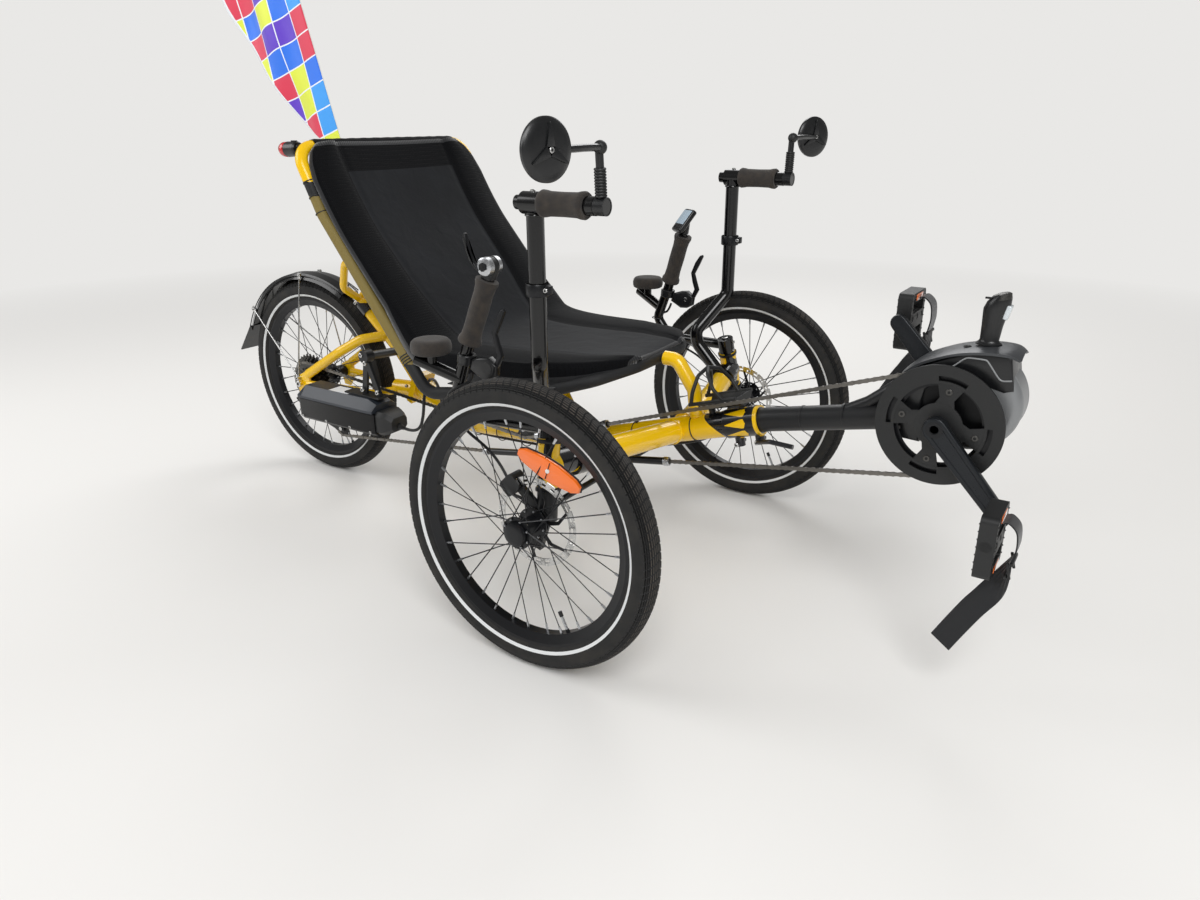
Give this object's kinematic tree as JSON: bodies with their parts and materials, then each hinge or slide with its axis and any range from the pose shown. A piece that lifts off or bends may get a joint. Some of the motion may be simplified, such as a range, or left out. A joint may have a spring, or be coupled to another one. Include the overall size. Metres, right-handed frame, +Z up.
{
  "type": "recumbent trike",
  "caption": "Recumbent tadpole trike with a bent yellow spine, reclined mesh seat, direct steering, electric drive unit at the cranks, rear battery, mirrors and a safety flag.",
  "frame": {"origin": "On the ground, under the middle of the bounding box.", "axes": "+X forward, +Y to the trike's left, +Z up; at rest the three tyres stand on z=0, the wheels point straight ahead."},
  "size_m": [2.0097, 1.068, 1.5025],
  "materials": {
    "tyre": "matte",
    "rim_black": "satin",
    "frame_yellow": "gloss",
    "part_black": "satin",
    "bar_black": "gloss",
    "hub_black": "satin",
    "steel": "brushed",
    "alloy": "satin",
    "foam": "matte",
    "plastic_black": "matte",
    "guard_black": "satin",
    "motor_grey": "satin",
    "battery_grey": "satin",
    "sling_cloth": "matte",
    "strap_cloth": "matte",
    "chain_steel": "oiled",
    "flag_cloth": "matte"
  },
  "bodies": {
    "chassis": {"main_frame": "frame_yellow", "rear_frame": "frame_yellow", "boom": "part_black", "boom_clamp": "part_black", "bottle_cage": "plastic_black", "motor_drum": "alloy", "motor_housing": "motor_grey", "headlight": "plastic_black", "seat_frame": "part_black", "seat_strut": "part_black", "seat_sling": "sling_cloth", "battery": "battery_grey", "battery_mount": "part_black", "mudguard": "guard_black", "mudguard_stays": "steel", "tail_light": "plastic_black", "flag_pole": "plastic_black", "flag": "flag_cloth", "chain": "chain_steel", "chain_tubes": "plastic_black", "rear_derailleur": "part_black", "assist_bars": "bar_black", "assist_grips": "foam", "mirrors": "plastic_black"},
    "steering_right": {"knuckle_right": "part_black", "handlebar_right": "part_black", "grip_right": "foam", "controls_right": "plastic_black", "shifter": "plastic_black"},
    "steering_left": {"knuckle_left": "part_black", "handlebar_left": "part_black", "grip_left": "foam", "controls_left": "plastic_black", "display": "plastic_black"},
    "track_rod": {"tie_rod": "alloy"},
    "wheel_right": {"front_tyre_right": "tyre", "front_rim_right": "rim_black", "front_hub_right": "hub_black", "front_disc_right": "steel"},
    "wheel_left": {"front_tyre_left": "tyre", "front_rim_left": "rim_black", "front_hub_left": "hub_black", "front_disc_left": "steel"},
    "wheel_rear": {"rear_tyre": "tyre", "rear_rim": "rim_black", "rear_hub": "hub_black", "cassette": "steel"},
    "cranks": {"crankset": "motor_grey", "chainring": "guard_black"},
    "pedal_body_right": {"pedal_right": "plastic_black", "pedal_strap_right": "strap_cloth"},
    "pedal_body_left": {"pedal_left": "plastic_black", "pedal_strap_left": "strap_cloth"}
  },
  "joints": [
    {"name": "steer_right", "type": "hinge", "parent": "chassis", "child": "steering_right", "pos_m": [0.29653, -0.35491, 0.3365], "axis": [-0.1016, 0.2303, 0.9678], "range_deg": [-28, 28]},
    {"name": "steer_left", "type": "hinge", "parent": "chassis", "child": "steering_left", "pos_m": [0.29653, 0.35491, 0.3365], "axis": [-0.1016, -0.2303, 0.9678], "range_deg": [-28, 28]},
    {"name": "track_rod_turn", "type": "hinge", "parent": "steering_right", "child": "track_rod", "pos_m": [0.22847, -0.36185, 0.20742], "axis": [-0.0582, 0.233, 0.9707], "range_deg": [-31, 31]},
    {"name": "spin_right", "type": "hinge", "parent": "steering_right", "child": "wheel_right", "pos_m": [0.3053, -0.435, 0.253], "axis": [0, 1, 0], "continuous": true},
    {"name": "spin_left", "type": "hinge", "parent": "steering_left", "child": "wheel_left", "pos_m": [0.3053, 0.435, 0.253], "axis": [0, 1, 0], "continuous": true},
    {"name": "spin_rear", "type": "hinge", "parent": "chassis", "child": "wheel_rear", "pos_m": [-0.7007, 0, 0.253], "axis": [0, 1, 0], "continuous": true},
    {"name": "crank_spin", "type": "hinge", "parent": "chassis", "child": "cranks", "pos_m": [0.8493, 0, 0.423], "axis": [0, 1, 0], "continuous": true},
    {"name": "pedal_spin_right", "type": "hinge", "parent": "cranks", "child": "pedal_body_right", "pos_m": [0.96327, -0.15, 0.29686], "axis": [0, 1, 0], "continuous": true},
    {"name": "pedal_spin_left", "type": "hinge", "parent": "cranks", "child": "pedal_body_left", "pos_m": [0.73533, 0.15, 0.54914], "axis": [0, 1, 0], "continuous": true}
  ],
  "couplings": [
    {"joint": "steer_left", "follows": "steer_right", "ratio": 1},
    {"joint": "track_rod_turn", "follows": "steer_right", "ratio": -1.06}
  ]
}
